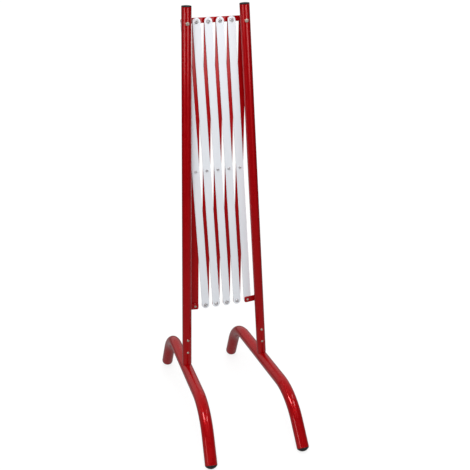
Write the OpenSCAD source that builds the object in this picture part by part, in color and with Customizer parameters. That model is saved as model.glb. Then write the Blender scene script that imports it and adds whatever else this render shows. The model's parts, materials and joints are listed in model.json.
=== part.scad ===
// Expanding trellis barrier, folded. Millimetres, Z up, front of the barrier towards -Y.
// Origin: on the ground, midway between the two posts and midway between front and back.

/* [Posts] */
// outside diameter of the post tube
post_dia = 25; // [22:0.5:27]
// wall of the post tube
post_wall = 1.5; // [1.2:0.1:1.8]
// lean of each post away from upright, foot outwards
post_lean = 2.1; // [1.9:0.05:2.6]
// height of the pivot bolts above the ground, folded
bolt_height = 1069.3; // [1060:0.1:1090]
// from the pivot bolt up to the top of the cap
cap_above_bolt = 43; // [38:1:50]
// thickness of the cap's visible rim
cap_rim = 4; // [3:0.5:6]
// diameter of the blind rivets' heads
post_rivet_head_dia = 6.6; // [6:0.1:8]
// height of the upper blind rivet above the foot's centre line
upper_rivet_height = 90; // [80:1:95]
// height of the lower blind rivet above the foot's centre line
lower_rivet_height = 53.5; // [45:0.5:60]

/* [Feet] */
// outside diameter of the foot tube
foot_dia = 32; // [30:0.2:34]
// wall of the foot tube
foot_wall = 2; // [1.5:0.1:2.5]
// half of the foot's straight middle
foot_straight = 142; // [120:1:160]
// centre line radius of the foot's bends
foot_bend = 131.5; // [110:0.5:150]
// angle of each leg below level
foot_leg_angle = 58.8; // [55:0.2:62]
// length of each leg from the bend to the tube's end
foot_leg = 70.5; // [65:0.1:95]
// toe-out of each foot
foot_toe = 2; // [0:0.1:2.5]
// depth of the plugs' rims outside the tube
plug_rim = 1; // [0.8:0.1:2]
// height of the dome on each plug
plug_dome = 8.5; // [8:0.1:10]
// depth of the worn flat on each plug that stands on the ground
plug_flat = 1.4; // [0.8:0.1:1.4]

/* [Trellis] */
// distance between a slat's end pivots
slat_reach = 761.6; // [740:0.1:770]
// half angle between crossing slats, folded
folded_angle = 2.25; // [2.1:0.01:2.6]
// width of a slat
slat_width = 20; // [18:0.5:21]
// thickness of a slat
slat_thick = 2.5; // [2:0.1:2.5]
// diameter of the trellis rivets
rivet_dia = 5; // [4:0.1:6]
// diameter of the trellis rivets' heads
rivet_head_dia = 8; // [7:0.1:10]
// gap between the posts' axis plane and the front of the trellis
trellis_offset = 17.5; // [17.5:0.1:18.5]
// opening angle for which the posts' guide slots are cut
open_angle = 50; // [30:1:55]

/* [Bolts and guides] */
// shank diameter of the pivot bolts
bolt_dia = 5; // [5:0.1:6]
// dome head diameter of the pivot bolts
bolt_head_dia = 9.5; // [9:0.1:11]
// diameter of the heads of the rivets that hold the guide tabs
tab_rivet_head_dia = 7; // [6.5:0.1:9]
// height of a guide tab
tab_height = 16.5; // [15:0.5:18]
// reach of a guide tab inboard of its rivet
tab_inboard = 9; // [8:0.5:9.5]
// diameter of the guide pins
pin_dia = 8; // [7:0.1:8.5]

/* [Top bar] */
// height of the top bar
bar_height = 13.5; // [12:0.5:16]
// height of the bar's centre line above the pivot bolts
bar_rise = 1.7; // [0:0.1:2.2]
// reach of the bar past the left bolt
bar_overhang = 7.5; // [6:0.5:12]

/* [Hidden] */
$fn = 96;
run_gap = 0.05;                 // radial running clearance of the pivots
snug_gap = 0.02;                // radial clearance of a rivet in the slat that carries it
open_gap = 0.1;                 // radial clearance of the bottom pivots, which close the linkage
bend_thinning = 0.1;            // how much thinner the foot's wall is on each side round the bends
cells = 5;
post_r = post_dia / 2;
bore_r = post_r - post_wall;
foot_r = foot_dia / 2;
bolt_r = bolt_dia / 2;
rivet_r = rivet_dia / 2;
pin_r = pin_dia / 2;
half_reach = slat_reach / 2;
plug_r = foot_r - 0.3;
plug_ball = (plug_r * plug_r + plug_dome * plug_dome) / (2 * plug_dome);
pitch = slat_reach * sin(folded_angle);
half_top = cells * pitch / 2;
bottom_height = bolt_height - slat_reach * cos(folded_angle);
mid_height = (bolt_height + bottom_height) / 2;
// height of the foot's centre line under the post, and half the spacing of the posts there
foot_height = foot_bend * (1 - cos(foot_leg_angle))
            + (foot_leg + plug_rim + plug_dome - plug_ball) * sin(foot_leg_angle)
            + plug_ball - plug_flat;
half_track = half_top + (bolt_height - foot_height) * tan(post_lean);
// distances along the post's axis from the foot's centre line
bolt_along = (bolt_height - foot_height) / cos(post_lean);
cap_along = bolt_along + cap_above_bolt;
post_start = foot_r + 0.6;
spigot_top = upper_rivet_height + 16;
spigot_r = bore_r - 0.2;
spigot_wall = 2;
// seats cut flat on the post for the bolt's head and its spacer
seat = post_r - 1;
// the layers from front to back
white_front = trellis_offset;
white_back = white_front + slat_thick;
layer_gap = 1;
red_front = white_back + layer_gap;
red_back = red_front + slat_thick;
tab_thick = 2.5;
tab_front = white_front - tab_thick;
head_h = 2;
ring_thick = 0.8;
ring_r = 5.5;
washer_r = 6;
nut_h = 4.7;
nut_r = 4.62;
bolt_head_h = 2.75;
post_rivet_r = 1.6;
bar_front = red_back + 6.5;
bar_thick = 2.5;
tail_end = bar_front - 0.2;
spacer_r = 6;
// the guide pin sits on the circle through the slat's mid pivot, so it runs straight down the post
guide_turn = 2 * post_lean;
tab_reach = 2 * half_reach * sin(post_lean);
// distance of the guide pin from the pivot bolt, folded and open
guide_low = slat_reach * cos(folded_angle + post_lean);
guide_high = slat_reach * cos(folded_angle + open_angle + post_lean);
slot_w = pin_dia + 0.4;
pin_flange_r = 6;

red = [0.62, 0.06, 0.07];
white = [0.88, 0.89, 0.91];
zinc = [0.66, 0.67, 0.69];
black = [0.05, 0.05, 0.055];

// ---- shared shapes

// a cylinder along Y from y0 to y1
module rod(r, y0, y1) {
  translate([0, y0, 0]) rotate([-90, 0, 0]) cylinder(r = r, h = y1 - y0);
}

// a low dome along Y: flat face at y0, top towards -Y (dir -1) or +Y (dir 1)
module dome(r, h, y0, dir) {
  ball = (r * r + h * h) / (2 * h);
  intersection() {
    translate([0, y0 + dir * (h - ball), 0]) sphere(r = ball);
    rod(r, dir > 0 ? y0 : y0 - h - 1, dir > 0 ? y0 + h + 1 : y0);
  }
}

// a flat ring along Y
module ring(r_out, r_in, y0, y1) {
  difference() {
    rod(r_out, y0, y1);
    rod(r_in, y0 - 1, y1 + 1);
  }
}

// the left post's own frame: origin on the foot's centre line, Z along the post
module on_left_post() {
  translate([-half_track, 0, foot_height]) rotate([0, post_lean, 0]) children();
}

module above_ground() {
  difference() {
    children();
    translate([-600, -600, -100]) cube([1200, 1200, 100]);
  }
}

// ---- posts

module post_tube() {
  difference() {
    translate([0, 0, post_start]) cylinder(r = post_r, h = cap_along - cap_rim - post_start);
    translate([0, 0, post_start - 1]) cylinder(r = bore_r, h = cap_along);
    // pivot bolt: hole and the two flat seats
    translate([0, 0, bolt_along]) rod(bolt_r + snug_gap, -post_dia, post_dia);
    translate([0, 0, bolt_along]) rotate([90, 0, 0])
      translate([0, 0, seat]) cylinder(r = bolt_head_dia / 2 + 0.5, h = post_r);
    translate([0, 0, bolt_along]) rotate([-90, 0, 0])
      translate([0, 0, seat]) cylinder(r = spacer_r + 0.5, h = post_r);
    // guide slot in the back wall
    translate([0, 0, bolt_along - guide_low]) rod(slot_w / 2, 0, post_dia);
    translate([0, 0, bolt_along - guide_high]) rod(slot_w / 2, 0, post_dia);
    translate([-slot_w / 2, 0, bolt_along - guide_low])
      cube([slot_w, post_dia, guide_low - guide_high]);
    // blind rivet holes and the slit below the lower one, front wall
    for (h = [lower_rivet_height, upper_rivet_height])
      translate([0, 0, h]) rod(post_rivet_r + snug_gap, -post_dia, 0);
    translate([-0.6, -post_dia, post_start - 1])
      cube([1.2, post_dia, lower_rivet_height - post_start]);
  }
}

module cap_body() {
  ball = (post_r * post_r + 1.4 * 1.4) / 2.8;
  // rim with a low domed top
  intersection() {
    translate([0, 0, cap_along - cap_rim]) cylinder(r = post_r, h = cap_rim);
    translate([0, 0, cap_along - ball]) sphere(r = ball, $fn = 192);
  }
  // skirt inside the tube
  difference() {
    translate([0, 0, cap_along - cap_rim - 18]) cylinder(r = bore_r - 0.1, h = 18);
    translate([0, 0, cap_along - cap_rim - 19]) cylinder(r = bore_r - 2, h = 18);
  }
}

module spigot_body() {
  difference() {
    cylinder(r = spigot_r, h = spigot_top);
    translate([0, 0, -1]) cylinder(r = spigot_r - spigot_wall, h = spigot_top + 2);
    rotate([0, 0, -foot_toe]) rod(foot_r, -post_dia, post_dia);
    for (h = [lower_rivet_height, upper_rivet_height])
      translate([0, 0, h]) rod(post_rivet_r + snug_gap, -post_dia, 0);
  }
}

module blind_rivets() {
  inside = -(spigot_r - spigot_wall);
  for (h = [lower_rivet_height, upper_rivet_height]) translate([0, 0, h]) {
    dome(post_rivet_head_dia / 2, 1.3, -post_r, -1);
    rod(post_rivet_r, -post_r, inside + 1.8);
    intersection() {
      rod(post_rivet_r + 0.9, inside + 0.5, inside + 2.6);
      cylinder(r = spigot_r - spigot_wall, h = 20, center = true);
    }
  }
}

// ---- feet

module bend_rod(r) {
  translate([0, foot_straight, -foot_bend]) rotate([0, -90, 0])
    rotate_extrude(angle = foot_leg_angle) translate([foot_bend, 0]) circle(r = r);
}

// a length of the straight leg, from z0 past the end of the bend
module leg_rod(r, z0, h) {
  translate([0, foot_straight + foot_bend * sin(foot_leg_angle),
             -foot_bend * (1 - cos(foot_leg_angle))])
    rotate([-90 - foot_leg_angle, 0, 0]) translate([0, 0, z0]) cylinder(r = r, h = h);
}

// the wall is a hair thinner round the bends, so that every joint between them has clean edges
module foot_end() {
  difference() {
    bend_rod(foot_r - bend_thinning);
    bend_rod(foot_r - foot_wall + bend_thinning);
  }
  difference() {
    leg_rod(foot_r, -1, foot_leg + 1);
    leg_rod(foot_r - foot_wall, -2, foot_leg + 4);
  }
}

module foot_tube() {
  rotate([0, 0, -foot_toe]) union() {
    ring(foot_r, foot_r - foot_wall, -foot_straight - 1, foot_straight + 1);
    foot_end();
    rotate([0, 0, 180]) foot_end();
  }
}

// rim and dome outside the tube, hollow skirt inside
module leg_plug() {
  translate([0, foot_straight + foot_bend * sin(foot_leg_angle),
             -foot_bend * (1 - cos(foot_leg_angle))])
    rotate([-90 - foot_leg_angle, 0, 0]) translate([0, 0, foot_leg]) {
      cylinder(r = plug_r, h = plug_rim);
      intersection() {
        translate([0, 0, plug_rim + plug_dome - plug_ball]) sphere(r = plug_ball, $fn = 128);
        cylinder(r = plug_r, h = plug_rim + plug_dome + 1);
      }
      difference() {
        translate([0, 0, -16]) cylinder(r = foot_r - foot_wall - 0.1, h = 16.5);
        translate([0, 0, -17]) cylinder(r = foot_r - foot_wall - 2.5, h = 15);
      }
    }
}

module foot_plugs() {
  rotate([0, 0, -foot_toe]) { leg_plug(); rotate([0, 0, 180]) leg_plug(); }
}

// ---- pivot bolts: head in front of the post, tail behind the trellis

module bolt(tail) {
  dome(bolt_head_dia / 2, bolt_head_h, -seat, -1);
  rod(bolt_r, -seat - 0.5, tail);
}

module hex_nut(y0, h) {
  difference() {
    translate([0, y0, 0]) rotate([-90, 0, 0]) cylinder(r = nut_r, h = h, $fn = 6);
    rod(bolt_r + snug_gap, y0 - 1, y0 + h + 1);
  }
}

module at_left_bolt() { translate([-half_top, 0, bolt_height]) children(); }
module at_right_bolt() { translate([half_top, 0, bolt_height]) children(); }

// ---- trellis

function pivot_x(i) = -half_top + i * pitch;

module slat_blank(top_r, mid_r, low_r) {
  difference() {
    union() {
      translate([-slat_width / 2, 0, -half_reach]) cube([slat_width, slat_thick, slat_reach]);
      for (z = [-half_reach, half_reach]) translate([0, 0, z]) rod(slat_width / 2, 0, slat_thick);
    }
    translate([0, 0, half_reach]) rod(top_r, -1, slat_thick + 1);
    rod(mid_r, -1, slat_thick + 1);
    translate([0, 0, -half_reach]) rod(low_r, -1, slat_thick + 1);
  }
}

// the frames of the slats of cell i (0 to 4), origin at their crossing
module on_white(i) {
  translate([pivot_x(i) + pitch / 2, 0, mid_height]) rotate([0, -folded_angle, 0]) children();
}
module on_red(i) {
  translate([pivot_x(i) + pitch / 2, 0, mid_height]) rotate([0, folded_angle, 0]) children();
}

module white_slat(i) {
  on_white(i) translate([0, white_front, 0])
    slat_blank(i == 0 ? bolt_r + run_gap : rivet_r + run_gap, rivet_r + run_gap,
               i == cells - 1 ? rivet_r + snug_gap : rivet_r + open_gap);
}

module red_slat(i) {
  on_red(i) translate([0, red_front, 0])
    slat_blank(i == cells - 1 ? bolt_r + run_gap : rivet_r + snug_gap, rivet_r + snug_gap,
               rivet_r + snug_gap);
}

// a rivet through both layers, its front head at y0
module slat_rivet(y0) {
  dome(rivet_head_dia / 2, head_h, y0, -1);
  rod(rivet_r, y0 - 0.3, red_back + 0.3);
  dome(rivet_head_dia / 2, head_h, red_back, 1);
}

// the rivets that red slat i carries
module rivet_set(i) {
  on_red(i) {
    slat_rivet(white_front);
    if (i < cells - 1) translate([0, 0, half_reach]) slat_rivet(white_front - ring_thick);
    if (i > 0) translate([0, 0, -half_reach]) slat_rivet(white_front - ring_thick);
  }
}

module end_washers() {
  ring(ring_r, rivet_r + snug_gap, white_front - ring_thick, white_front);
  ring(washer_r, rivet_r + snug_gap, white_back, red_front);
}

module washer_set(i) {
  on_red(i) {
    ring(washer_r, rivet_r + snug_gap, white_back, red_front);
    if (i < cells - 1) translate([0, 0, half_reach]) end_washers();
    if (i > 0) translate([0, 0, -half_reach]) end_washers();
  }
}

// ---- guides

// the frame of the guide tab of red slat 1: origin at its lower pivot, X outboard to the pin
module on_left_tab() {
  on_red(0) translate([0, 0, -half_reach]) rotate([0, post_lean, 0]) mirror([1, 0, 0]) children();
}

module tab_plate() {
  reach = tab_inboard + tab_reach + tab_height / 2;
  corner = 4;
  difference() {
    translate([-tab_inboard, white_front, -tab_height / 2]) rotate([90, 0, 0])
      linear_extrude(height = tab_thick) {
        translate([corner, 0]) square([reach - 2 * corner, tab_height]);
        translate([0, corner]) square([reach, tab_height - 2 * corner]);
        for (x = [corner, reach - corner]) for (z = [corner, tab_height - corner])
          translate([x, z]) circle(r = corner);
      }
    rod(rivet_r + snug_gap, 0, 40);
    translate([tab_reach, 0, 0]) rod(pin_r + snug_gap, 0, 40);
  }
}

module pin_body() {
  translate([tab_reach, 0, 0]) {
    rod(pin_flange_r, 6.2, 8.2);
    rod(pin_r, 8, white_front + 0.3);
    dome(pin_flange_r, 1.8, white_front, 1);
  }
}

module tab_rivet_body(back) {
  dome(tab_rivet_head_dia / 2, 1.8, tab_front, -1);
  rod(rivet_r, tab_front - 0.3, back + 0.3);
  dome(tab_rivet_head_dia / 2, 1.8, back, 1);
}

// ---- nodes

module left_post() { color(red) on_left_post() post_tube(); }
module left_post_cap() { color(black) on_left_post() cap_body(); }
module left_foot() { color(red) on_left_post() foot_tube(); }
module left_spigot() { color(red) on_left_post() spigot_body(); }
module left_foot_plugs() { color(black) above_ground() on_left_post() foot_plugs(); }
module left_post_rivets() { color(zinc) on_left_post() blind_rivets(); }
module left_top_bolt() { color(zinc) at_left_bolt() bolt(tail_end); }
module left_top_spacers() {
  color(zinc) at_left_bolt() {
    ring(spacer_r, bolt_r + snug_gap, seat, white_front);
    ring(spacer_r, bolt_r + snug_gap, white_back, red_front);
  }
}
module left_top_nut() { color(zinc) at_left_bolt() hex_nut(red_front, nut_h); }

module right_post() { color(red) mirror([1, 0, 0]) on_left_post() post_tube(); }
module right_post_cap() { color(black) mirror([1, 0, 0]) on_left_post() cap_body(); }
module right_foot() { color(red) mirror([1, 0, 0]) on_left_post() foot_tube(); }
module right_spigot() { color(red) mirror([1, 0, 0]) on_left_post() spigot_body(); }
module right_foot_plugs() {
  color(black) mirror([1, 0, 0]) above_ground() on_left_post() foot_plugs();
}
module right_post_rivets() { color(zinc) mirror([1, 0, 0]) on_left_post() blind_rivets(); }
module right_top_bolt() {
  color(zinc) at_right_bolt() bolt(bar_front + bar_thick + 0.1 + nut_h + 1);
}
module right_top_spacers() {
  color(zinc) at_right_bolt() {
    ring(spacer_r, bolt_r + snug_gap, seat, red_front);
    ring(spacer_r, bolt_r + snug_gap, red_back, bar_front);
  }
}
module right_top_nut() {
  color(zinc) at_right_bolt() hex_nut(bar_front + bar_thick + 0.1, nut_h);
}

module white_slat_1() { color(white) white_slat(0); }
module white_slat_2() { color(white) white_slat(1); }
module white_slat_3() { color(white) white_slat(2); }
module white_slat_4() { color(white) white_slat(3); }
module white_slat_5() { color(white) white_slat(4); }
module red_slat_1() { color(red) red_slat(0); }
module red_slat_2() { color(red) red_slat(1); }
module red_slat_3() { color(red) red_slat(2); }
module red_slat_4() { color(red) red_slat(3); }
module red_slat_5() { color(red) red_slat(4); }
module rivets_1() { color(zinc) rivet_set(0); }
module rivets_2() { color(zinc) rivet_set(1); }
module rivets_3() { color(zinc) rivet_set(2); }
module rivets_4() { color(zinc) rivet_set(3); }
module rivets_5() { color(zinc) rivet_set(4); }
module washers_1() { color(zinc) washer_set(0); }
module washers_2() { color(zinc) washer_set(1); }
module washers_3() { color(zinc) washer_set(2); }
module washers_4() { color(zinc) washer_set(3); }
module washers_5() { color(zinc) washer_set(4); }

module left_guide_tab() { color(red) on_left_tab() tab_plate(); }
module left_guide_pin() { color(zinc) on_left_tab() pin_body(); }
module left_tab_rivet() { color(zinc) on_left_tab() tab_rivet_body(red_back); }
module left_tab_spacer() {
  color(zinc) on_left_tab() ring(washer_r + 1, rivet_r + snug_gap, white_front, red_front);
}
module right_guide_tab() { color(red) mirror([1, 0, 0]) on_left_tab() tab_plate(); }
module right_guide_pin() { color(zinc) mirror([1, 0, 0]) on_left_tab() pin_body(); }
module right_tab_rivet() { color(zinc) mirror([1, 0, 0]) on_left_tab() tab_rivet_body(white_back); }

// flat bar hung on the right bolt; its lug rests on the left bolt's tail
module top_bar() {
  end_x = -half_top - bar_overhang + bar_height / 2;
  color(red) translate([0, 0, bolt_height + bar_rise]) {
    difference() {
      union() {
        translate([end_x, bar_front, -bar_height / 2])
          cube([half_top - end_x, bar_thick, bar_height]);
        translate([end_x, 0, 0]) rod(bar_height / 2, bar_front, bar_front + bar_thick);
        translate([half_top, 0, 0]) rod(bar_height / 2, bar_front, bar_front + bar_thick);
      }
      translate([half_top, 0, -bar_rise]) rod(bolt_r + run_gap, 0, 60);
    }
    translate([-half_top - 5, red_back + 3, bolt_r - bar_rise])
      cube([10, bar_front - red_back - 3, 2]);
  }
}

left_post();
left_post_cap();
left_foot();
left_spigot();
left_foot_plugs();
left_post_rivets();
left_top_bolt();
left_top_spacers();
left_top_nut();
right_post();
right_post_cap();
right_foot();
right_spigot();
right_foot_plugs();
right_post_rivets();
right_top_bolt();
right_top_spacers();
right_top_nut();
white_slat_1();
white_slat_2();
white_slat_3();
white_slat_4();
white_slat_5();
red_slat_1();
red_slat_2();
red_slat_3();
red_slat_4();
red_slat_5();
rivets_1();
rivets_2();
rivets_3();
rivets_4();
rivets_5();
washers_1();
washers_2();
washers_3();
washers_4();
washers_5();
left_guide_tab();
left_guide_pin();
left_tab_rivet();
left_tab_spacer();
right_guide_tab();
right_guide_pin();
right_tab_rivet();
top_bar();
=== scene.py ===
# Folded trellis barrier in a plain pale studio. Metres, the frame's own axes.
import bpy, bmesh, math, json
from mathutils import Vector, Matrix


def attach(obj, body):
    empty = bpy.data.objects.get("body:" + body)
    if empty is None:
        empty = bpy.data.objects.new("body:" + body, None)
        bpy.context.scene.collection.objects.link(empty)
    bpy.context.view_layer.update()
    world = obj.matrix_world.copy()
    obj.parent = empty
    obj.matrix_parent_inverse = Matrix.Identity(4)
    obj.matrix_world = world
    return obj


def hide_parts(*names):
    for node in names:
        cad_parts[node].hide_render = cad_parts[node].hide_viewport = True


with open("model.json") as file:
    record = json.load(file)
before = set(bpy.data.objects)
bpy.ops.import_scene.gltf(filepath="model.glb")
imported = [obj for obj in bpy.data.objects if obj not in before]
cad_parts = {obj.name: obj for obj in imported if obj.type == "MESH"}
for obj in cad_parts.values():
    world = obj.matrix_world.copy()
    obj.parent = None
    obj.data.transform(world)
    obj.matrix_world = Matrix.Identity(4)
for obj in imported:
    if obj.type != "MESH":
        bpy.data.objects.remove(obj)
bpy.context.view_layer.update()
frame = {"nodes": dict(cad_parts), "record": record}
nodes = frame["nodes"]
MM = 0.001

# ---------------------------------------------------------------- camera
cam_data = bpy.data.cameras.new("camera")
cam = bpy.data.objects.new("camera", cam_data)
bpy.context.collection.objects.link(cam)
turn, dip, roll = math.radians(16.56), math.radians(20.34), math.radians(-1.14)
ahead = Vector((math.sin(turn) * math.cos(dip), math.cos(turn) * math.cos(dip), -math.sin(dip)))
right = Vector((math.cos(turn), -math.sin(turn), 0))
up = right.cross(ahead)
right_r = math.cos(roll) * right + math.sin(roll) * up
up_r = -math.sin(roll) * right + math.cos(roll) * up
m = Matrix((right_r, up_r, -ahead)).transposed().to_4x4()
m.translation = Vector((-0.6048, -2.1598, 1.3438))
cam.matrix_world = m
cam_data.lens = 68.9
cam_data.sensor_width = 36
cam_data.clip_start, cam_data.clip_end = 0.05, 60
bpy.context.scene.camera = cam


# ---------------------------------------------------------------- materials
def new_material(name):
    mat = bpy.data.materials.new(name)
    mat.use_nodes = True
    nt = mat.node_tree
    bsdf = nt.nodes["Principled BSDF"]
    return mat, nt, bsdf


def mapped_noise(nt, scale, detail=3.0, rough=0.5, stretch=(1, 1, 1)):
    coords = nt.nodes.new("ShaderNodeTexCoord")
    mapping = nt.nodes.new("ShaderNodeMapping")
    mapping.inputs["Scale"].default_value = stretch
    noise = nt.nodes.new("ShaderNodeTexNoise")
    noise.inputs["Scale"].default_value = scale
    noise.inputs["Detail"].default_value = detail
    noise.inputs["Roughness"].default_value = rough
    nt.links.new(coords.outputs["Object"], mapping.inputs["Vector"])
    nt.links.new(mapping.outputs["Vector"], noise.inputs["Vector"])
    return noise.outputs["Fac"]


def map_range(nt, source, lo, hi, out_lo, out_hi):
    node = nt.nodes.new("ShaderNodeMapRange")
    node.inputs["From Min"].default_value = lo
    node.inputs["From Max"].default_value = hi
    node.inputs["To Min"].default_value = out_lo
    node.inputs["To Max"].default_value = out_hi
    nt.links.new(source, node.inputs["Value"])
    return node.outputs[0]


def feed(nt, socket, value):
    """Sets a socket to a number or a colour, or links it to another node's output."""
    if isinstance(value, (int, float)):
        socket.default_value = value
    elif isinstance(value, tuple):
        socket.default_value = (*value, 1)
    else:
        nt.links.new(value, socket)


def mix_color(nt, fac, a, b):
    node = nt.nodes.new("ShaderNodeMix")
    node.data_type = "RGBA"
    for key, value in ((0, fac), (6, a), (7, b)):
        feed(nt, node.inputs[key], value)
    return node.outputs[2]


def math_node(nt, operation, a, b):
    node = nt.nodes.new("ShaderNodeMath")
    node.operation = operation
    for key, value in ((0, a), (1, b)):
        feed(nt, node.inputs[key], value)
    return node.outputs[0]


def bumped(nt, bsdf, *heights):
    """Bumps laid over each other, each as (height, strength, distance)."""
    before = None
    for height, strength, distance in heights:
        bump = nt.nodes.new("ShaderNodeBump")
        bump.inputs["Strength"].default_value = strength
        bump.inputs["Distance"].default_value = distance
        nt.links.new(height, bump.inputs["Height"])
        if before:
            nt.links.new(before, bump.inputs["Normal"])
        before = bump.outputs["Normal"]
    nt.links.new(before, bsdf.inputs["Normal"])


def paint(name, base, deep, rubbed, gloss, sheen_of_metal, coat):
    """Sprayed enamel on steel: orange peel, uneven film, faint handling marks and dust."""
    mat, nt, bsdf = new_material(name)
    cloud = mapped_noise(nt, 7, 4, 0.6)
    marks = mapped_noise(nt, 85, 7, 0.72, (1, 1, 0.22))
    peel = mapped_noise(nt, 330, 2, 0.45)
    ripple = mapped_noise(nt, 38, 2, 0.5, (1, 1, 0.4))
    speck = mapped_noise(nt, 950, 2, 0.6)
    col = mix_color(nt, map_range(nt, cloud, 0.38, 0.64, 0, 1), base, deep)
    col = mix_color(nt, map_range(nt, marks, 0.62, 0.74, 0, 0.30), col, rubbed)
    col = mix_color(nt, map_range(nt, speck, 0.72, 0.80, 0, 0.25), col, rubbed)
    nt.links.new(col, bsdf.inputs["Base Color"])
    nt.links.new(map_range(nt, marks, 0.35, 0.75, gloss, gloss + 0.16), bsdf.inputs["Roughness"])
    bumped(nt, bsdf, (ripple, 0.10, 0.0006), (peel, 0.10, 0.0002))
    bsdf.inputs["Metallic"].default_value = sheen_of_metal
    bsdf.inputs["Specular IOR Level"].default_value = 0.18
    bsdf.inputs["Coat Weight"].default_value = coat
    bsdf.inputs["Coat Roughness"].default_value = 0.06
    return mat


def metal(name, tint, rough_lo, rough_hi):
    """Zinc plate: soft spangle, fine tool grain, small tarnished spots."""
    mat, nt, bsdf = new_material(name)
    bsdf.inputs["Metallic"].default_value = 0.6
    cloud = mapped_noise(nt, 210, 5, 0.6)
    fine = mapped_noise(nt, 1500, 3, 0.6)
    spots = mapped_noise(nt, 640, 4, 0.7)
    col = mix_color(nt, map_range(nt, cloud, 0.35, 0.7, 0, 1), tint, tuple(c * 0.74 for c in tint))
    col = mix_color(nt, map_range(nt, spots, 0.62, 0.74, 0, 0.5), col, (0.20, 0.17, 0.14))
    nt.links.new(col, bsdf.inputs["Base Color"])
    nt.links.new(map_range(nt, cloud, 0.3, 0.7, rough_lo, rough_hi), bsdf.inputs["Roughness"])
    bumped(nt, bsdf, (cloud, 0.12, 0.0004), (fine, 0.12, 0.0001))
    return mat


def plastic(name, base):
    """Injection-moulded plastic: fine spark texture, dusty scuffs."""
    mat, nt, bsdf = new_material(name)
    grain = mapped_noise(nt, 1100, 3, 0.6)
    dust = mapped_noise(nt, 90, 5, 0.65)
    scuff = mapped_noise(nt, 260, 6, 0.75)
    col = mix_color(nt, map_range(nt, dust, 0.45, 0.75, 0, 0.6), base,
                    tuple(c * 2.4 + 0.012 for c in base))
    col = mix_color(nt, map_range(nt, scuff, 0.64, 0.74, 0, 0.35), col, (0.11, 0.105, 0.10))
    nt.links.new(col, bsdf.inputs["Base Color"])
    nt.links.new(map_range(nt, dust, 0.3, 0.7, 0.34, 0.52), bsdf.inputs["Roughness"])
    bumped(nt, bsdf, (scuff, 0.15, 0.0003), (grain, 0.2, 0.0002))
    return mat


red = paint("red_enamel", (0.42, 0.001, 0.003), (0.38, 0.001, 0.003), (0.42, 0.008, 0.008),
            0.24, 0.38, 0.55)
white = paint("white_enamel", (0.72, 0.75, 0.79), (0.69, 0.72, 0.76), (0.56, 0.57, 0.59),
              0.26, 0.0, 0.4)
zinc = metal("zinc", (0.66, 0.66, 0.66), 0.28, 0.46)
bright = metal("bright_steel", (0.62, 0.52, 0.44), 0.22, 0.38)
pale = metal("pale_zinc", (0.78, 0.78, 0.80), 0.30, 0.48)
black = plastic("black_plastic", (0.006, 0.006, 0.0065))

by_slot = {"red_paint": red, "white_paint": white, "zinc_steel": zinc, "black_plastic": black}
for part in frame["record"]["subparts"]:
    mesh = nodes[part["node"]].data
    mesh.materials.clear()
    mesh.materials.append(by_slot[part["material_slot"]])


# ---------------------------------------------------------------- sizes as in the CAD, in mm
POST_R, POST_WALL, LEAN = 12.5, 1.5, math.radians(2.1)
BOLT_Z, CAP_ABOVE_BOLT, CAP_RIM, CAP_DOME = 1069.3, 43.0, 4.0, 1.4
RIVET_HEIGHTS, BLIND_R = (53.5, 90.0), 1.6
SPIGOT_GAP, SPIGOT_WALL, SLIT_HALF = 0.2, 2, 0.6
FOOT_R, FOOT_WALL, FOOT_STRAIGHT, FOOT_BEND = 16.0, 2.0, 142.0, 131.5
LEG_ANGLE, FOOT_LEG, TOE = math.radians(58.8), 70.5, math.radians(2.0)
PLUG_R, PLUG_RIM, PLUG_DOME, PLUG_FLAT = 15.7, 1.0, 8.5, 1.4
REACH, FOLDED, CELLS = 761.6, math.radians(2.25), 5
SLAT_W, SLAT_T, RIVET_R = 20.0, 2.5, 2.5
BOLT_R, BOLT_HEAD_R, BOLT_HEAD_H = 2.5, 4.75, 2.75
SEAT, SPACER_R, NUT_R, NUT_H = 11.5, 6.0, 4.62, 4.7
WHITE_FRONT, WHITE_BACK, RED_FRONT, RED_BACK = 17.5, 20.0, 21.0, 23.5
RING_R, RING_T, WASHER_R = 5.5, 0.8, 6.0
TAB_T, TAB_H, TAB_IN, TAB_CORNER = 2.5, 16.5, 9.0, 4.0
PIN_R, PIN_FLANGE_R, OPEN = 4.0, 6.0, math.radians(50)
BAR_FRONT, BAR_T, BAR_H, BAR_RISE, BAR_PAST = 30.0, 2.5, 13.5, 1.7, 7.5
LUG_HALF, LUG_T = 5, 2
# radial gaps: a pin held fast, a slat on its pivot, plastic pushed into a tube, the guide pin in
# its slot, the recess round a bolt's head; and the rounding of the slats' and the bar's edges
SNUG, EASY, PUSH_FIT, SLOT_GAP, RECESS_GAP = 0.02, 0.05, 0.1, 0.2, 0.5
SHEET_EDGE = 0.45

PITCH = REACH * math.sin(FOLDED)
HALF_TOP = CELLS * PITCH / 2
MID_Z = BOLT_Z - REACH * math.cos(FOLDED) / 2
PLUG_BALL = (PLUG_R ** 2 + PLUG_DOME ** 2) / (2 * PLUG_DOME)
FOOT_Z = (FOOT_BEND * (1 - math.cos(LEG_ANGLE)) + PLUG_BALL - PLUG_FLAT
          + (FOOT_LEG + PLUG_RIM + PLUG_DOME - PLUG_BALL) * math.sin(LEG_ANGLE))
HALF_TRACK = HALF_TOP + (BOLT_Z - FOOT_Z) * math.tan(LEAN)
BOLT_ALONG = (BOLT_Z - FOOT_Z) / math.cos(LEAN)
CAP_ALONG = BOLT_ALONG + CAP_ABOVE_BOLT
POST_START = FOOT_R + 0.6
SPIGOT_R = POST_R - POST_WALL - SPIGOT_GAP
TAB_REACH = REACH * math.sin(LEAN)
GUIDE_LOW = REACH * math.cos(FOLDED + LEAN)
GUIDE_HIGH = REACH * math.cos(FOLDED + OPEN + LEAN)

move = Matrix.Translation
MIRROR = Matrix.Scale(-1, 4, (1, 0, 0))
STRAIGHT = Matrix.Identity(4)
SIDES = (("left", STRAIGHT), ("right", MIRROR))


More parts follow.
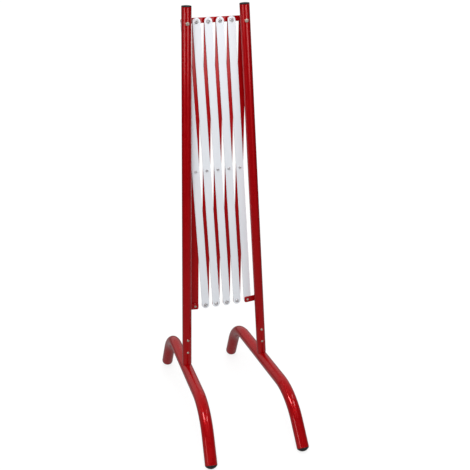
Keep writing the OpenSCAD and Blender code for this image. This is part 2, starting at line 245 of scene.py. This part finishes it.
def turn_x(angle):
    return Matrix.Rotation(angle, 4, "X")


def turn_y(angle):
    return Matrix.Rotation(angle, 4, "Y")


def turn_z(angle):
    return Matrix.Rotation(angle, 4, "Z")


def on_slat(i, lean):
    """The middle of slat i, with Z along it."""
    return move((-HALF_TOP + i * PITCH + PITCH / 2, 0, MID_Z)) @ turn_y(lean)


def on_white(i):
    return on_slat(i, -FOLDED)


def on_red(i):
    return on_slat(i, FOLDED)


# the left post's foot with Z up the post, and the left guide tab's rivet with X out to the post
ON_POST = move((-HALF_TRACK, 0, FOOT_Z)) @ turn_y(LEAN)
ON_TAB = on_red(0) @ move((0, 0, -REACH / 2)) @ turn_y(LEAN) @ MIRROR


# ---------------------------------------------------------------- mesh tools, in mm
def to_object(bm, name):
    bmesh.ops.remove_doubles(bm, verts=bm.verts, dist=1e-5)
    bmesh.ops.recalc_face_normals(bm, faces=bm.faces)
    mesh = bpy.data.meshes.new(name)
    bm.to_mesh(mesh)
    bm.free()
    ob = bpy.data.objects.new(name, mesh)
    bpy.context.collection.objects.link(ob)
    return ob


def piece(ob, mat, body, slot, *stands_for, weighted=True, sharp):
    """Gives a mesh its finish and its place in the frame, and turns its mm into metres."""
    mesh = ob.data
    mesh.transform(Matrix.Scale(MM, 4))
    mesh.materials.append(mat)
    mesh.polygons.foreach_set("use_smooth", [True] * len(mesh.polygons))
    mesh.set_sharp_from_angle(angle=math.radians(sharp))
    if weighted:
        ob.modifiers.new("normals", "WEIGHTED_NORMAL").keep_sharp = True
    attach(ob, body)
    if stands_for:
        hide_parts(*stands_for)


def circle(r, n=48, x=0.0, z=0.0):
    return [(x + r * math.cos(2 * math.pi * i / n), z + r * math.sin(2 * math.pi * i / n))
            for i in range(n)]


def softened(points, radius, closed=False, steps=3):
    """The same outline with its corners rounded."""
    out = []
    n = len(points)
    for i, p in enumerate(points):
        if not closed and i in (0, n - 1):
            out.append(p)
            continue
        p, a, b = Vector(p), Vector(points[i - 1]), Vector(points[(i + 1) % n])
        cut_a = p + (a - p).normalized() * min(radius, (a - p).length * 0.45)
        cut_b = p + (b - p).normalized() * min(radius, (b - p).length * 0.45)
        for k in range(steps + 1):
            t = k / steps
            out.append(tuple((1 - t) ** 2 * cut_a + 2 * t * (1 - t) * p + t * t * cut_b))
    return out


def skin(bm, rings, closed):
    """Faces between successive rings; a ring of one vertex closes the surface to a point."""
    pairs = list(zip(rings, rings[1:])) + ([(rings[-1], rings[0])] if closed else [])
    for a, b in pairs:
        n = max(len(a), len(b))
        for i in range(n):
            j = (i + 1) % n
            quad = [a[i % len(a)], a[j % len(a)], b[j % len(b)], b[i % len(b)]]
            bm.faces.new(list(dict.fromkeys(quad)))


def lathe(bm, profile, place, closed=False, segments=48):
    """Turns a profile of (radius, along) about the place's own Y axis."""
    rings = []
    for r, y in profile:
        if r < 1e-6:
            rings.append([bm.verts.new(place @ Vector((0, y, 0)))])
        else:
            rings.append([bm.verts.new(place @ Vector((x, y, z))) for x, z in circle(r, segments)])
    skin(bm, rings, closed)


def ring(bm, r_out, r_in, y0, y1, place, edge):
    section = softened([(r_in, y0), (r_out, y0), (r_out, y1), (r_in, y1)], edge, True)
    lathe(bm, section, place, True)


def plate(bm, outlines, y0, y1, edge, place):
    """A flat plate across Y with rounded edges. Each outline gives its points for a given inset;
    the first is the rim and the others are holes."""
    caps = ([], [])
    for outline in outlines:
        rings = []
        for inset, y in ((edge, y0), (edge * 0.3, y0 + edge * 0.3), (0, y0 + edge),
                         (0, y1 - edge), (edge * 0.3, y1 - edge * 0.3), (edge, y1)):
            rings.append([bm.verts.new(place @ Vector((x, y, z))) for x, z in outline(inset)])
        skin(bm, rings, False)
        for cap, loop in ((caps[0], rings[0]), (caps[1], rings[-1])):
            cap.extend(bm.edges.get((a, b)) for a, b in zip(loop, loop[1:] + loop[:1]))
    for cap in caps:
        bmesh.ops.triangle_fill(bm, use_beauty=True, edges=cap)


def hole(r, x=0.0, z=0.0):
    return lambda inset: circle(r + inset, 40, x, z)


def half_circle(r, start, n):
    """Points on half a circle, anticlockwise from a starting angle."""
    angles = [start + math.pi * i / n for i in range(n + 1)]
    return [(r * math.cos(a), r * math.sin(a)) for a in angles]


def stadium(half_w, z_lo, z_hi):
    def points(inset):
        arc = half_circle(half_w - inset, 0, 24)
        return [(x, z_hi + z) for x, z in arc] + [(-x, z_lo - z) for x, z in arc]
    return points


def combine(ob, operation, *others):
    """Booleans with the other objects, applied; the others are used up."""
    for c in others:
        mod = ob.modifiers.new("combine", "BOOLEAN")
        mod.operation = operation
        mod.solver = "EXACT"
        mod.object = c
    bpy.context.view_layer.update()
    mesh = bpy.data.meshes.new_from_object(ob.evaluated_get(bpy.context.evaluated_depsgraph_get()))
    ob.modifiers.clear()
    ob.data = mesh
    for c in others:
        bpy.data.objects.remove(c)


def rod_cutter(r, y0, y1, place):
    bm = bmesh.new()
    lathe(bm, [(0, y0), (r, y0), (r, y1), (0, y1)], place)
    return to_object(bm, "cutter")


def box_cutter(x0, x1, y0, y1, z0, z1, place):
    middle = move(((x0 + x1) / 2, (y0 + y1) / 2, (z0 + z1) / 2))
    size = Matrix.Diagonal((x1 - x0, y1 - y0, z1 - z0, 1))
    bm = bmesh.new()
    bmesh.ops.create_cube(bm, size=1, matrix=place @ (middle @ size))
    return to_object(bm, "cutter")


# ---------------------------------------------------------------- posts
UPRIGHT = turn_x(math.pi / 2)          # a lathe's Y axis turned up to Z


def build_post(side, mirror):
    place = mirror @ ON_POST
    top = CAP_ALONG - CAP_RIM
    bore = POST_R - POST_WALL
    bm = bmesh.new()
    # the loops near the ends keep the shading of the long wall straight
    wall = softened([(bore, POST_START), (POST_R, POST_START), (POST_R, POST_START + 2),
                     (POST_R, top - 2), (POST_R, top), (bore, top)], 0.35, True)
    lathe(bm, wall, place @ UPRIGHT, True, 128)
    ob = to_object(bm, side + "_post_tube")
    at_bolt = place @ move((0, 0, BOLT_ALONG))
    low, high = BOLT_ALONG - GUIDE_LOW, BOLT_ALONG - GUIDE_HIGH
    outside = 2 * POST_R
    bm = bmesh.new()
    plate(bm, [stadium(PIN_R + SLOT_GAP, low, high)], 0, outside, 0.001, place)
    slot_cutter = to_object(bm, "cutter")
    cutters = [rod_cutter(BOLT_R + SNUG, -outside, outside, at_bolt),
               rod_cutter(BOLT_HEAD_R + RECESS_GAP, -outside, -SEAT, at_bolt),
               rod_cutter(SPACER_R + RECESS_GAP, SEAT, outside, at_bolt),
               slot_cutter,
               box_cutter(-SLIT_HALF, SLIT_HALF, -outside, 0, POST_START - 1,
                          RIVET_HEIGHTS[0] - 1.5, place)]
    cutters += [rod_cutter(BLIND_R + SNUG, -outside, 0, place @ move((0, 0, h)))
                for h in RIVET_HEIGHTS]
    combine(ob, "DIFFERENCE", *cutters)
    piece(ob, red, side + "_post", "red_paint", side + "_post", weighted=False, sharp=30)


def build_cap(side, mirror):
    bm = bmesh.new()
    place = mirror @ ON_POST @ move((0, 0, CAP_ALONG)) @ UPRIGHT
    inner = POST_R - POST_WALL - PUSH_FIT
    outer = POST_R - SNUG
    ball = (POST_R ** 2 + CAP_DOME ** 2) / (2 * CAP_DOME)
    dome = [(r, math.sqrt(ball ** 2 - r ** 2) - ball) for r in (0, 3, 6, 8.5, 10.5, 11.6)]
    rim = softened([dome[-1], (outer, -1.5), (outer, -CAP_RIM), (inner, -CAP_RIM)], 0.5)
    skirt = [(inner, -20), (inner - 0.8, -22), (inner - 1.9, -22), (inner - 1.9, -5), (0, -5)]
    lathe(bm, dome[:-1] + rim + skirt, place, segments=96)
    piece(to_object(bm, side + "_cap"), black, side + "_post", "black_plastic",
          side + "_post_cap", weighted=False, sharp=50)


def build_post_rivets(side, mirror):
    """Pulled blind rivets: a low flange, a dimple and the broken mandrel in it."""
    inside = SPIGOT_WALL - SPIGOT_R
    front = -POST_R
    bm = bmesh.new()
    for h in RIVET_HEIGHTS:
        head = [(0, front - 0.55), (0.75, front - 0.6), (0.85, front - 0.35), (1.15, front - 0.4),
                (1.35, front - 1.25), (1.9, front - 1.3), (2.7, front - 1.0), (3.2, front - 0.45),
                (3.3, front - 0.15), (3.1, front + 0.1), (BLIND_R, front + 0.3)]
        tail = [(BLIND_R, inside), (2.5, inside + 0.6), (2.5, inside + 2.2), (1.2, inside + 2.6),
                (0, inside + 2.6)]
        lathe(bm, head + tail, mirror @ ON_POST @ move((0, 0, h)), segments=40)
    piece(to_object(bm, side + "_blind_rivets"), bright, side + "_post", "zinc_steel",
          side + "_post_rivets", weighted=False, sharp=60)


# ---------------------------------------------------------------- feet
def foot_frames():
    """Points along the foot's centre line from front to rear, each with its downward angle."""
    half = []
    a = LEG_ANGLE
    end_y = FOOT_STRAIGHT + FOOT_BEND * math.sin(a)
    end_z = -FOOT_BEND * (1 - math.cos(a))
    for t in (1.0, 0.5, 0.12):
        half.append((end_y + t * FOOT_LEG * math.cos(a), end_z - t * FOOT_LEG * math.sin(a), a))
    steps = 28
    for i in range(steps, -1, -1):
        b = a * i / steps
        half.append((FOOT_STRAIGHT + FOOT_BEND * math.sin(b), -FOOT_BEND * (1 - math.cos(b)), b))
    half += [(FOOT_STRAIGHT * t, 0, 0) for t in (0.8, 0.4, 0.12)]
    front = [(-y, z, -b) for y, z, b in half]
    return front + [(0, 0, 0)] + half[::-1]


def foot_ring(bm, frame_at, r, place, along=0.0):
    y, z, b = frame_at
    # direction of the centre line (towards the rear) and its upward normal
    d = Vector((0, math.cos(b), -math.sin(b)))
    n = Vector((0, math.sin(b), math.cos(b)))
    c = Vector((0, y, z)) + d * along
    return [bm.verts.new(place @ (c + Vector((x, 0, 0)) + n * w)) for x, w in circle(r, 72)]


def build_foot(side, mirror):
    place = mirror @ ON_POST @ turn_z(-TOE)
    path = foot_frames()
    inner = FOOT_R - FOOT_WALL
    bm = bmesh.new()
    # how far along the tube from its end, and how much less than its radius
    lip = ((0, 0.4), (0.15, 0.12), (0.5, 0), (2, 0))
    rings = [foot_ring(bm, path[0], FOOT_R - less, place, along) for along, less in lip]
    rings += [foot_ring(bm, f, FOOT_R, place) for f in path[1:-1]]
    rings += [foot_ring(bm, path[-1], FOOT_R - less, place, -along) for along, less in lip[::-1]]
    rings += [foot_ring(bm, f, inner, place) for f in reversed(path)]
    skin(bm, rings, True)
    piece(to_object(bm, side + "_foot_tube"), red, side + "_post", "red_paint",
          side + "_foot", weighted=False, sharp=50)


def build_plugs(side, mirror):
    """Moulded end plugs, pushed in to a shoulder and worn flat where they stand."""
    bm = bmesh.new()
    a = LEG_ANGLE
    skirt = FOOT_R - FOOT_WALL - PUSH_FIT
    top = PLUG_RIM + PLUG_DOME
    ball = [(PLUG_R * s, top - PLUG_BALL + math.sqrt(PLUG_BALL ** 2 - (PLUG_R * s) ** 2))
            for s in (0, 0.2, 0.4, 0.58, 0.74, 0.86, 0.95)]
    rim = softened([ball[-1], (PLUG_R, PLUG_RIM), (PLUG_R, SNUG), (skirt, SNUG)], 0.4)
    inside = [(skirt, -14.5), (skirt - 0.8, -16), (skirt - 2.4, -16), (skirt - 2.4, -2), (0, -2)]
    for back in (0, math.pi):
        leg = (move((0, FOOT_STRAIGHT + FOOT_BEND * math.sin(a), -FOOT_BEND * (1 - math.cos(a))))
               @ turn_x(-a) @ move((0, FOOT_LEG, 0)))
        lathe(bm, ball[:-1] + rim + inside, mirror @ ON_POST @ turn_z(-TOE) @ turn_z(back) @ leg,
              segments=72)
    parts = bm.verts[:] + bm.edges[:] + bm.faces[:]
    made = bmesh.ops.bisect_plane(bm, geom=parts, dist=1e-5, plane_co=(0, 0, 0),
                                  plane_no=(0, 0, -1), clear_outer=True)
    rims = [e for e in made["geom_cut"] if isinstance(e, bmesh.types.BMEdge)]
    bmesh.ops.holes_fill(bm, edges=rims, sides=0)
    piece(to_object(bm, side + "_end_plugs"), black, side + "_post", "black_plastic",
          side + "_foot_plugs", sharp=40)


def build_weld(side, mirror):
    """The bead round the spigot's foot, laid on the tube and slightly uneven."""
    place = mirror @ ON_POST
    bm = bmesh.new()
    rings = []
    steps, around = 144, 10
    for i in range(steps):
        t = 2 * math.pi * i / steps
        x, y = SPIGOT_R * math.cos(t), SPIGOT_R * math.sin(t)
        across = x * math.cos(TOE) - y * math.sin(TOE)
        z = math.sqrt(FOOT_R ** 2 - across ** 2)
        fat = 0.45 + 1.25 * abs(across / SPIGOT_R) ** 1.5
        fat *= 1 + 0.06 * math.sin(31 * t) + 0.04 * math.sin(13 * t + 1)
        out = Vector((math.cos(t), math.sin(t), 0))
        rings.append([bm.verts.new(place @ (Vector((x, y, z)) + out * fat * 0.8 * math.cos(u)
                                            + Vector((0, 0, fat * math.sin(u)))))
                      for u in (2 * math.pi * k / around for k in range(around))])
    skin(bm, rings, True)
    piece(to_object(bm, side + "_weld"), red, side + "_post", "red_paint", weighted=False,
          sharp=80)


# ---------------------------------------------------------------- slats
def build_slat(layer, i):
    """One slat; the top end of the first white one and the last red one is on a pivot bolt."""
    if layer == "white":
        on, y0, mat, on_bolt = on_white(i), WHITE_FRONT, white, i == 0
    else:
        on, y0, mat, on_bolt = on_red(i), RED_FRONT, red, i == CELLS - 1
    top_r = BOLT_R if on_bolt else RIVET_R
    bm = bmesh.new()
    plate(bm, [stadium(SLAT_W / 2, -REACH / 2, REACH / 2), hole(top_r + EASY, 0, REACH / 2),
               hole(RIVET_R + EASY), hole(RIVET_R + EASY, 0, -REACH / 2)],
          y0, y0 + SLAT_T, SHEET_EDGE, on)
    piece(to_object(bm, "%s_strip_%d" % (layer, i + 1)), mat, "%s_%d" % (layer, i + 1),
          layer + "_paint", "%s_slat_%d" % (layer, i + 1), sharp=50)


def rivet_head(r, h, y, out):
    """A domed head with the dimple a setting tool leaves, from its middle to the shank."""
    shape = [(0, h - 1.6), (1.45, h - 1.6), (1.7, h - 1.2), (1.85, h - 0.12), (2.15, h),
             (2.5, h - 0.1), (r * 0.8, h * 0.66), (r * 0.94, h * 0.34), (r, 0.16),
             (r - 0.2, 0.0), (RIVET_R, 0.0)]
    return [(x, y + out * z) for x, z in shape]


def slat_rivet(bm, place, y0):
    front = rivet_head(4.0, 1.9, y0, -1)
    rear = rivet_head(4.0, 1.9, RED_BACK, 1)
    lathe(bm, front + rear[::-1], place, segments=40)


def build_rivets(i):
    heads, washers = bmesh.new(), bmesh.new()
    on = on_red(i)
    ends = ([REACH / 2] if i < CELLS - 1 else []) + ([-REACH / 2] if i > 0 else [])
    slat_rivet(heads, on, WHITE_FRONT)
    ring(washers, WASHER_R, RIVET_R, WHITE_BACK, RED_FRONT, on, 0.15)
    for z in ends:
        at = on @ move((0, 0, z))
        slat_rivet(heads, at, WHITE_FRONT - RING_T)
        ring(washers, RING_R, RIVET_R, WHITE_FRONT - RING_T, WHITE_FRONT, at, 0.2)
        ring(washers, WASHER_R, RIVET_R, WHITE_BACK, RED_FRONT, at, 0.15)
    body = "red_%d" % (i + 1)
    piece(to_object(heads, "rivet_heads_%d" % (i + 1)), pale, body, "zinc_steel",
          "rivets_%d" % (i + 1), weighted=False, sharp=60)
    piece(to_object(washers, "pivot_washers_%d" % (i + 1)), pale, body, "zinc_steel",
          "washers_%d" % (i + 1), weighted=False, sharp=40)


# ---------------------------------------------------------------- pivot bolts
def build_bolt(side, x, tail):
    """A smooth button head, a plain shank and a threaded tail."""
    place = move((x, 0, BOLT_Z))
    crown = [(BOLT_HEAD_R * math.sin(a), -SEAT - 0.5 - (BOLT_HEAD_H - 0.5) * math.cos(a) ** 0.8)
             for a in (0, 0.25, 0.5, 0.75, 1.0, 1.25, 1.45)]
    rim = [(BOLT_HEAD_R, -SEAT - 0.45), (BOLT_HEAD_R, -SEAT - 0.12), (BOLT_HEAD_R - 0.15, -SEAT),
           (BOLT_R, -SEAT)]
    pitch, start = 0.8, tail - 7.2
    thread = [(BOLT_R, start)]
    while start + pitch < tail - 0.6:
        thread += [(BOLT_R - 0.38, start + pitch * 0.45), (BOLT_R - 0.38, start + pitch * 0.6),
                   (BOLT_R - 0.04, start + pitch * 0.95)]
        start += pitch
    thread += [(BOLT_R - 0.6, tail), (0, tail)]
    bm = bmesh.new()
    lathe(bm, crown + rim + thread, place, segments=40)
    piece(to_object(bm, side + "_pivot_bolt"), bright, side + "_post", "zinc_steel",
          side + "_top_bolt", weighted=False, sharp=40)


def build_spacers(side, x, spans):
    bm = bmesh.new()
    for y0, y1 in spans:
        ring(bm, SPACER_R, BOLT_R + SNUG, y0, y1, move((x, 0, BOLT_Z)), 0.25)
    piece(to_object(bm, side + "_pivot_spacers"), zinc, side + "_post", "zinc_steel",
          side + "_top_spacers", weighted=False, sharp=40)


def build_nut(side, x, y):
    """A lock nut: a hexagon with turned-off corners and a rolled collar."""
    place = move((x, 0, BOLT_Z))
    collar = NUT_H * 0.72
    flat = NUT_R * math.cos(math.pi / 6)
    bore = BOLT_R + SNUG
    steps = [2 * math.pi * (k + 0.5) / 48 for k in range(48)]
    hexagon = [flat / math.cos((a % (math.pi / 3)) - math.pi / 6) for a in steps]
    turned = [min(r, NUT_R * 0.86) for r in hexagon]
    levels = [(0.0, turned), (0.45, hexagon), (collar - 0.45, hexagon), (collar, turned)]
    levels += [(z, [r] * len(steps)) for r, z in (
        (flat - 0.55, collar), (flat - 0.55, NUT_H - 0.5), (flat - 1.0, NUT_H),
        (BOLT_R + 0.25, NUT_H), (bore, NUT_H - 0.4), (bore, 0.0))]
    bm = bmesh.new()
    rings = [[bm.verts.new(place @ Vector((r * math.cos(a), y + z, r * math.sin(a))))
              for r, a in zip(radii, steps)] for z, radii in levels]
    skin(bm, rings, True)
    piece(to_object(bm, side + "_lock_nut"), zinc, side + "_post", "zinc_steel",
          side + "_top_nut", weighted=False, sharp=25)


# ---------------------------------------------------------------- guides
def tab_outline(inset):
    reach = TAB_IN + TAB_REACH + TAB_H / 2
    r = TAB_CORNER - inset
    near, far = TAB_CORNER, reach - TAB_CORNER
    low, high = TAB_CORNER, TAB_H - TAB_CORNER
    pts = []
    for cx, cz, start in ((far, high, 0), (near, high, 90), (near, low, 180), (far, low, 270)):
        for k in range(9):
            a = math.radians(start + 90 * k / 8)
            pts.append((cx + r * math.cos(a) - TAB_IN, cz + r * math.sin(a) - TAB_H / 2))
    return pts


def build_guide(side, mirror, body):
    """The tab on an end slat, its rivet, and the pin that runs in the post's slot."""
    place = mirror @ ON_TAB
    left = side == "left"
    rear = WHITE_FRONT
    front = rear - TAB_T
    bm = bmesh.new()
    plate(bm, [tab_outline, hole(RIVET_R + SNUG), hole(PIN_R + SNUG, TAB_REACH)],
          front, rear, 0.5, place)
    piece(to_object(bm, side + "_guide_plate"), red, body, "red_paint", side + "_guide_tab",
          sharp=50)

    bm = bmesh.new()
    flange = softened([(0, 6.2), (PIN_FLANGE_R, 6.2), (PIN_FLANGE_R, 8.2), (PIN_R, 8.2)], 0.4)
    button = [(PIN_R, rear), (5.6, rear), (6.0, rear + 0.3), (5.5, rear + 1.0),
              (4.2, rear + 1.6), (2.2, rear + 1.8), (1.6, rear + 1.3), (0, rear + 1.2)]
    lathe(bm, flange + button, place @ move((TAB_REACH, 0, 0)))
    piece(to_object(bm, side + "_guide_stud"), zinc, body, "zinc_steel", side + "_guide_pin",
          weighted=False, sharp=40)

    back = RED_BACK if left else WHITE_BACK
    bm = bmesh.new()
    heads = rivet_head(3.5, 1.7, front, -1) + rivet_head(3.5, 1.7, back, 1)[::-1]
    lathe(bm, heads, place, segments=40)
    piece(to_object(bm, side + "_guide_rivet"), bright, body, "zinc_steel", side + "_tab_rivet",
          weighted=False, sharp=60)
    if left:
        bm = bmesh.new()
        ring(bm, WASHER_R + 1, RIVET_R + SNUG, rear, RED_FRONT, place, 0.25)
        piece(to_object(bm, "left_guide_spacer"), zinc, body, "zinc_steel", "left_tab_spacer",
              weighted=False, sharp=40)


def build_bar():
    """The flat bar across the top: one piece with its folded lug."""
    r = BAR_H / 2
    end_x = -HALF_TOP - BAR_PAST + r

    def rim(inset):
        arc = half_circle(r - inset, -math.pi / 2, 20)
        return ([(HALF_TOP + x, BAR_RISE + z) for x, z in arc]
                + [(end_x - x, BAR_RISE - z) for x, z in arc])

    bm = bmesh.new()
    plate(bm, [rim, hole(BOLT_R + EASY, HALF_TOP)], BAR_FRONT, BAR_FRONT + BAR_T, SHEET_EDGE,
          move((0, 0, BOLT_Z)))
    bar = to_object(bm, "cross_bar")
    bm = bmesh.new()
    west, east, low, high = -HALF_TOP - LUG_HALF, -HALF_TOP + LUG_HALF, BOLT_R, BOLT_R + LUG_T
    lug = softened([(west, low), (east, low), (east, high), (west, high)], 0.5, True)
    loops = [[bm.verts.new((x, y, BOLT_Z + z)) for x, z in lug]
             for y in (RED_BACK + 3, BAR_FRONT + 1)]
    skin(bm, loops, False)
    bm.faces.new(loops[0])
    bm.faces.new(loops[1][::-1])
    combine(bar, "UNION", to_object(bm, "lug"))
    piece(bar, red, "top_bar", "red_paint", "top_bar", sharp=50)


for side, mirror in SIDES:
    build_post(side, mirror)
    build_cap(side, mirror)
    build_post_rivets(side, mirror)
    build_foot(side, mirror)
    build_plugs(side, mirror)
    build_weld(side, mirror)
for cell in range(CELLS):
    build_slat("white", cell)
    build_slat("red", cell)
    build_rivets(cell)
build_bolt("left", -HALF_TOP, BAR_FRONT - 0.2)
build_spacers("left", -HALF_TOP, ((SEAT, WHITE_FRONT), (WHITE_BACK, RED_FRONT)))
build_nut("left", -HALF_TOP, RED_FRONT)
right_nut_y = BAR_FRONT + BAR_T + 0.1
build_bolt("right", HALF_TOP, right_nut_y + NUT_H + 1)
build_spacers("right", HALF_TOP, ((SEAT, RED_FRONT), (RED_BACK, BAR_FRONT)))
build_nut("right", HALF_TOP, right_nut_y)
build_guide("left", STRAIGHT, "red_1")
build_guide("right", MIRROR, "white_5")
build_bar()


# ---------------------------------------------------------------- studio
def distance_out(nt):
    """How far a point is from the middle of its object."""
    coords = nt.nodes.new("ShaderNodeTexCoord")
    away = nt.nodes.new("ShaderNodeVectorMath")
    away.operation = "LENGTH"
    nt.links.new(coords.outputs["Object"], away.inputs[0])
    return away.outputs["Value"]


def emitter(name):
    """A material that only gives off white light, and the socket for its strength."""
    mat, nt, bsdf = new_material(name)
    emit = nt.nodes.new("ShaderNodeEmission")
    emit.inputs["Color"].default_value = (1, 1, 1, 1)
    nt.nodes.remove(bsdf)
    nt.links.new(emit.outputs[0], nt.nodes["Material Output"].inputs["Surface"])
    return mat, nt, emit.inputs["Strength"]


def only_in_gloss(ob, name, mat):
    """Makes a stage object seen in reflections and nowhere else."""
    ob.name = name
    ob.data.materials.append(mat)
    for seen in ("visible_camera", "visible_diffuse", "visible_shadow", "visible_transmission"):
        setattr(ob, seen, False)


# a floor of white paper: mostly even white, with faint shadows that fade outwards
floor_mat, nt, bsdf = new_material("floor")
bsdf.inputs["Roughness"].default_value = 0.95
bsdf.inputs["Specular IOR Level"].default_value = 0.1
nt.links.new(mix_color(nt, map_range(nt, mapped_noise(nt, 3, 3), 0.3, 0.7, 0, 1),
                       (0.93, 0.93, 0.93), (0.91, 0.91, 0.91)), bsdf.inputs["Base Color"])
sweep = nt.nodes.new("ShaderNodeEmission")
sweep.inputs["Color"].default_value = (1, 1, 1, 1)
sweep.inputs["Strength"].default_value = 1.04
blend = nt.nodes.new("ShaderNodeMixShader")
nt.links.new(map_range(nt, distance_out(nt), 0.3, 1.8, 0.72, 1), blend.inputs[0])
nt.links.new(bsdf.outputs[0], blend.inputs[1])
nt.links.new(sweep.outputs[0], blend.inputs[2])
nt.links.new(blend.outputs[0], nt.nodes["Material Output"].inputs["Surface"])
bpy.ops.mesh.primitive_plane_add(size=60, location=(0, 0, 0))
floor = bpy.context.object
floor.name = "floor"
floor.data.materials.append(floor_mat)
floor.visible_glossy = False
floor.visible_diffuse = False

# what the gloss sees of the floor: a pool of light round the object that fades outwards
glow, nt, strength = emitter("floor_glow")
pool = math_node(nt, "POWER", map_range(nt, distance_out(nt), 0.2, 2.4, 1.0, 0.0), 1.6)
nt.links.new(map_range(nt, pool, 0, 1, 0.01, 0.34), strength)
bpy.ops.mesh.primitive_circle_add(vertices=64, radius=4.0, fill_type="NGON",
                                  location=(0, 0.1, -0.001))
only_in_gloss(bpy.context.object, "floor_glow", glow)

# the room: white where the camera sees it; in the gloss, a bright wall behind and dark in front
world = bpy.data.worlds.new("studio")
bpy.context.scene.world = world
world.use_nodes = True
nt = world.node_tree
coords = nt.nodes.new("ShaderNodeTexCoord")
split = nt.nodes.new("ShaderNodeSeparateXYZ")
nt.links.new(coords.outputs["Generated"], split.inputs[0])
behind = map_range(nt, split.outputs["Y"], -0.10, 0.60, 0.02, 0.50)
above = map_range(nt, split.outputs["Z"], -0.12, 0.10, 0.10, 1.0)
rays = nt.nodes.new("ShaderNodeLightPath")
in_gloss = math_node(nt, "MULTIPLY", math_node(nt, "MULTIPLY", behind, above),
                     rays.outputs["Is Glossy Ray"])
soft = map_range(nt, split.outputs["Z"], -0.6, 0.8, 0.28, 0.56)
in_diffuse = math_node(nt, "MULTIPLY", soft, rays.outputs["Is Diffuse Ray"])
shown = math_node(nt, "ADD", math_node(nt, "ADD", in_gloss, in_diffuse),
                  rays.outputs["Is Camera Ray"])
nt.links.new(shown, nt.nodes["Background"].inputs["Strength"])
nt.nodes["Background"].inputs["Color"].default_value = (1, 1, 1, 1)


def softbox(name, at, aim, size, power):
    """A broad lamp that the gloss doesn't show."""
    data = bpy.data.lights.new(name, "AREA")
    data.shape = "RECTANGLE"
    data.size, data.size_y = size
    data.energy = power
    ob = bpy.data.objects.new(name, data)
    ob.location = at
    ob.rotation_mode = "QUATERNION"
    ob.rotation_quaternion = (Vector(aim) - Vector(at)).to_track_quat("-Z", "Y")
    ob.visible_glossy = False
    bpy.context.collection.objects.link(ob)


def reflector(name, at, aim, size, strength, faint=0.0):
    """A card that only the gloss sees; faint is its bottom edge's share of the brightness."""
    mat, nt, strength_in = emitter(name)
    coords = nt.nodes.new("ShaderNodeTexCoord")
    split = nt.nodes.new("ShaderNodeSeparateXYZ")
    nt.links.new(coords.outputs["Generated"], split.inputs[0])
    nt.links.new(map_range(nt, split.outputs["Y"], 0.0, 0.5, faint * strength, strength),
                 strength_in)
    bpy.ops.mesh.primitive_plane_add(size=1, location=at)
    card = bpy.context.object
    card.scale = (*size, 1)
    card.rotation_mode = "QUATERNION"
    card.rotation_quaternion = (Vector(at) - Vector(aim)).to_track_quat("Z", "Y")
    only_in_gloss(card, name, mat)


# two low cards for the streaks on the posts, three high ones for the glints on the bends, and a
# strip for the thin line down the legs
reflector("streak_left", (-3.5, -2.06, 0.57), (0, 0, 0.57), (2.1, 0.62), 3.4)
reflector("streak_right", (1.32, -3.75, 0.40), (0, 0, 0.40), (2.1, 0.70), 3.4)
reflector("glint_left", (-1.56, -0.86, 2.60), (0, -0.24, 0.11), (1.10, 0.50), 12.0, 1.0)
reflector("glint_front", (0.97, -1.44, 2.69), (0, -0.24, 0.11), (0.80, 0.40), 9.0, 1.0)
reflector("glint_right", (1.67, -0.44, 2.60), (0, -0.24, 0.11), (0.50, 0.50), 4.0, 1.0)
reflector("strip", (0.95, -2.10, 2.00), (0, -0.24, 0.11), (0.16, 1.50), 2.5)
softbox("front", (-0.9, -2.7, 2.5), (0, 0, 0.75), (2.2, 1.6), 92)
softbox("overhead", (0.1, -0.5, 3.2), (0, 0, 0), (2.6, 2.6), 28)
softbox("rear", (0.9, 2.9, 2.0), (0, 0, 0.6), (2.4, 2.0), 40)

bpy.context.scene.view_settings.view_transform = "Standard"
